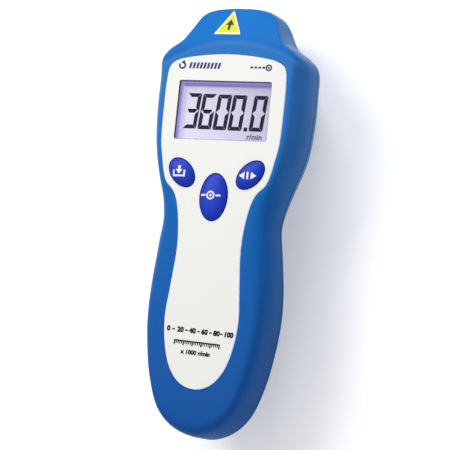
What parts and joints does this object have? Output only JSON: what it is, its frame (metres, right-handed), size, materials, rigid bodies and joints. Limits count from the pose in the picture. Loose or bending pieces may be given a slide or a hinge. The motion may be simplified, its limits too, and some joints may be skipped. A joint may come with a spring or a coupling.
{
  "type": "laser tachometer",
  "caption": "Handheld optical speed meter: two moulded half shells with a display, push buttons, a nose with a laser and receiver, and a sliding battery door.",
  "frame": {"origin": "under the middle of the instrument as it lies on its back, on the surface that it lies on", "axes": "+Z out of the face, +Y along the instrument to its nose, +X to the right of a reader of the display"},
  "size_m": [0.0606, 0.1626, 0.042],
  "materials": {
    "housing_blue": "fine satin moulded finish",
    "panel_white": "satin white inlay",
    "button_blue": "soft satin royal blue",
    "display_clear": "clear and polished",
    "gasket_dark": "dark sealing frame",
    "lcd_glass": "pale violet display cell",
    "light_guide": "diffusing light guide",
    "lamp_epoxy": "cast epoxy lamp",
    "zebra_rubber": "layered contact rubber",
    "ivory_plastic": "moulded frame",
    "board_green": "solder-masked laminate",
    "switch_steel": "stamped cover",
    "black_plastic": "moulded black",
    "chip_epoxy": "moulded epoxy",
    "bright_steel": "plated can",
    "capacitor_sleeve": "shrink sleeve",
    "smoked_acrylic": "dark red-smoked acrylic",
    "lens_clear": "polished lens",
    "brass": "turned brass",
    "battery_jacket": "plain printed steel jacket",
    "foam": "grey foam",
    "ribbon_film": "amber film lead",
    "red_insulation": "red lead",
    "black_insulation": "black lead",
    "screw_steel": "zinc-plated steel"
  },
  "bodies": {
    "housing": {"front_shell": "housing_blue", "rear_shell": "housing_blue", "face_panel": "panel_white", "display_window": "display_clear", "display_gasket": "gasket_dark", "lcd_cell": "lcd_glass", "backlight_panel": "light_guide", "backlight_led": "lamp_epoxy", "zebra_strip_top": "zebra_rubber", "zebra_strip_bottom": "zebra_rubber", "lcd_holder": "ivory_plastic", "main_board": "board_green", "sensor_board": "board_green", "switch_base_left": "switch_steel", "switch_base_centre": "switch_steel", "switch_base_right": "switch_steel", "optics_holder": "black_plastic", "lens_retainer": "black_plastic", "battery_snap": "black_plastic", "microcontroller": "chip_epoxy", "crystal_can": "bright_steel", "electrolytic_capacitor": "capacitor_sleeve", "nose_window": "smoked_acrylic", "photodiode": "smoked_acrylic", "laser_lens": "lens_clear", "receiver_lens": "lens_clear", "laser_barrel": "brass", "battery": "battery_jacket", "sensor_ribbon": "ribbon_film", "red_lead": "red_insulation", "black_lead": "black_insulation", "case_screw_1": "screw_steel", "case_screw_2": "screw_steel", "case_screw_3": "screw_steel", "case_screw_4": "screw_steel", "board_screw_1": "screw_steel", "board_screw_2": "screw_steel", "board_screw_3": "screw_steel", "board_screw_4": "screw_steel"},
    "left_key": {"button_left": "button_blue", "switch_plunger_left": "black_plastic"},
    "centre_key": {"button_centre": "button_blue", "switch_plunger_centre": "black_plastic"},
    "right_key": {"button_right": "button_blue", "switch_plunger_right": "black_plastic"},
    "door": {"battery_door": "housing_blue", "battery_pad": "foam"}
  },
  "joints": [
    {"name": "left_key_press", "type": "slide", "parent": "housing", "child": "left_key", "axis": [0, 0, -1], "range_m": [0, 0.0008], "stiffness_N_per_m": 800, "springref_m": -0.0008},
    {"name": "centre_key_press", "type": "slide", "parent": "housing", "child": "centre_key", "axis": [0, 0, -1], "range_m": [0, 0.0008], "stiffness_N_per_m": 800, "springref_m": -0.0008},
    {"name": "right_key_press", "type": "slide", "parent": "housing", "child": "right_key", "axis": [0, 0, -1], "range_m": [0, 0.0008], "stiffness_N_per_m": 800, "springref_m": -0.0008},
    {"name": "door_slide", "type": "slide", "parent": "housing", "child": "door", "axis": [0, -1, 0], "range_m": [0, 0.006]}
  ]
}
